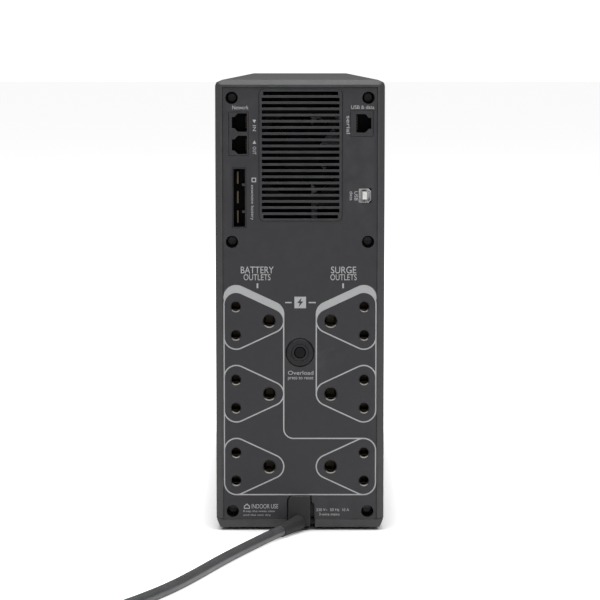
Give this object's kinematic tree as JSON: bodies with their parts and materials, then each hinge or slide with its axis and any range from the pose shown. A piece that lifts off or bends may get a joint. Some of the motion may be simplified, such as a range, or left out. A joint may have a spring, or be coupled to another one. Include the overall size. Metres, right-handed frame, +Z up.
{
  "type": "uninterruptible power supply",
  "caption": "Tall narrow tower uninterruptible power supply with faceted top and front, rear panel of round-pin outlets, slotted fan grille, network, data and USB ports, and a mains cord.",
  "frame": {"origin": "centre of the footprint on the floor", "axes": "+Z up, rear outlet panel faces -Y, display faces +Y, +X to the right seen from behind the unit looking at the outlets"},
  "size_m": [0.1878, 0.79, 0.301],
  "materials": {
    "case_black": "fine moulded texture",
    "panel_black": "fine moulded texture",
    "gloss_black": "polished",
    "clear_window": "polished, smoke tinted",
    "lcd_grey": "satin",
    "board_green": "solder mask",
    "button_grey": "satin",
    "battery_case": "moulded",
    "zinc_steel": "zinc plated",
    "core_steel": "varnished laminations",
    "copper_winding": "varnished copper wire under tape",
    "fin_aluminium": "extruded",
    "capacitor_sleeve": "shrink sleeve",
    "relay_case": "moulded",
    "fan_black": "moulded",
    "port_black": "moulded",
    "gold_contact": "gold flash",
    "port_steel": "tin plated",
    "port_white": "moulded",
    "breaker_black": "moulded",
    "screw_black": "black zinc",
    "rubber_black": "matt",
    "cord_jacket": "semi-matt flexible jacket",
    "tie_black": "hook and loop tape",
    "plug_black": "moulded",
    "pin_brass": "nickel-washed brass"
  },
  "bodies": {
    "root": {"cover": "case_black", "base_tray": "case_black", "rubber_feet": "rubber_black", "front_bezel": "case_black", "fascia": "gloss_black", "display_window": "clear_window", "lcd_panel": "lcd_grey", "display_board": "board_green", "battery_lower": "battery_case", "battery_upper": "battery_case", "battery_terminals": "pin_brass", "battery_cradle": "zinc_steel", "transformer_core": "core_steel", "transformer_winding": "copper_winding", "transformer_strap": "zinc_steel", "main_board": "board_green", "heat_sink_rear": "fin_aluminium", "heat_sink_front": "fin_aluminium", "capacitors": "capacitor_sleeve", "relays": "relay_case", "rear_panel": "panel_black", "vent_grille": "panel_black", "fan_frame": "fan_black", "network_jacks": "port_black", "data_jack": "port_black", "jack_contacts": "gold_contact", "usb_socket": "port_steel", "usb_tongue": "port_white", "battery_port": "port_black", "battery_port_contacts": "pin_brass", "breaker_body": "breaker_black", "breaker_nut": "breaker_black", "rear_screws": "screw_black", "strain_relief": "rubber_black", "power_cord": "cord_jacket", "cord_coil": "cord_jacket", "coil_tie": "tie_black", "plug_body": "plug_black", "plug_pins": "pin_brass", "outlet_block_left_1": "port_black", "outlet_contacts_left_1": "pin_brass", "outlet_block_left_2": "port_black", "outlet_contacts_left_2": "pin_brass", "outlet_block_left_3": "port_black", "outlet_contacts_left_3": "pin_brass", "outlet_block_right_1": "port_black", "outlet_contacts_right_1": "pin_brass", "outlet_block_right_2": "port_black", "outlet_contacts_right_2": "pin_brass", "outlet_block_right_3": "port_black", "outlet_contacts_right_3": "pin_brass"},
    "power_button": {"power_button": "button_grey"},
    "mute_button": {"mute_button": "button_grey"},
    "menu_button": {"menu_button": "button_grey"},
    "breaker_button": {"breaker_button": "breaker_black"},
    "battery_door": {"battery_door": "case_black"},
    "fan_rotor": {"fan_rotor": "fan_black"}
  },
  "joints": [
    {"name": "power_press", "type": "slide", "parent": "root", "child": "power_button", "axis": [0, -1, 0], "range_m": [0, 0.0012], "stiffness_N_per_m": 900},
    {"name": "mute_press", "type": "slide", "parent": "root", "child": "mute_button", "axis": [0, -1, 0], "range_m": [0, 0.0012], "stiffness_N_per_m": 700},
    {"name": "menu_press", "type": "slide", "parent": "root", "child": "menu_button", "axis": [0, -1, 0], "range_m": [0, 0.0012], "stiffness_N_per_m": 700},
    {"name": "breaker_pop", "type": "slide", "parent": "root", "child": "breaker_button", "axis": [0, -1, 0], "range_m": [0, 0.005]},
    {"name": "door_tilt", "type": "hinge", "parent": "root", "child": "battery_door", "pos_m": [-0.056, 0.05, 0.015], "axis": [0, -1, 0], "range_deg": [0, 20]},
    {"name": "fan_spin", "type": "hinge", "parent": "root", "child": "fan_rotor", "pos_m": [0, -0.1774, 0.2514], "axis": [0, -1, 0], "continuous": true}
  ]
}
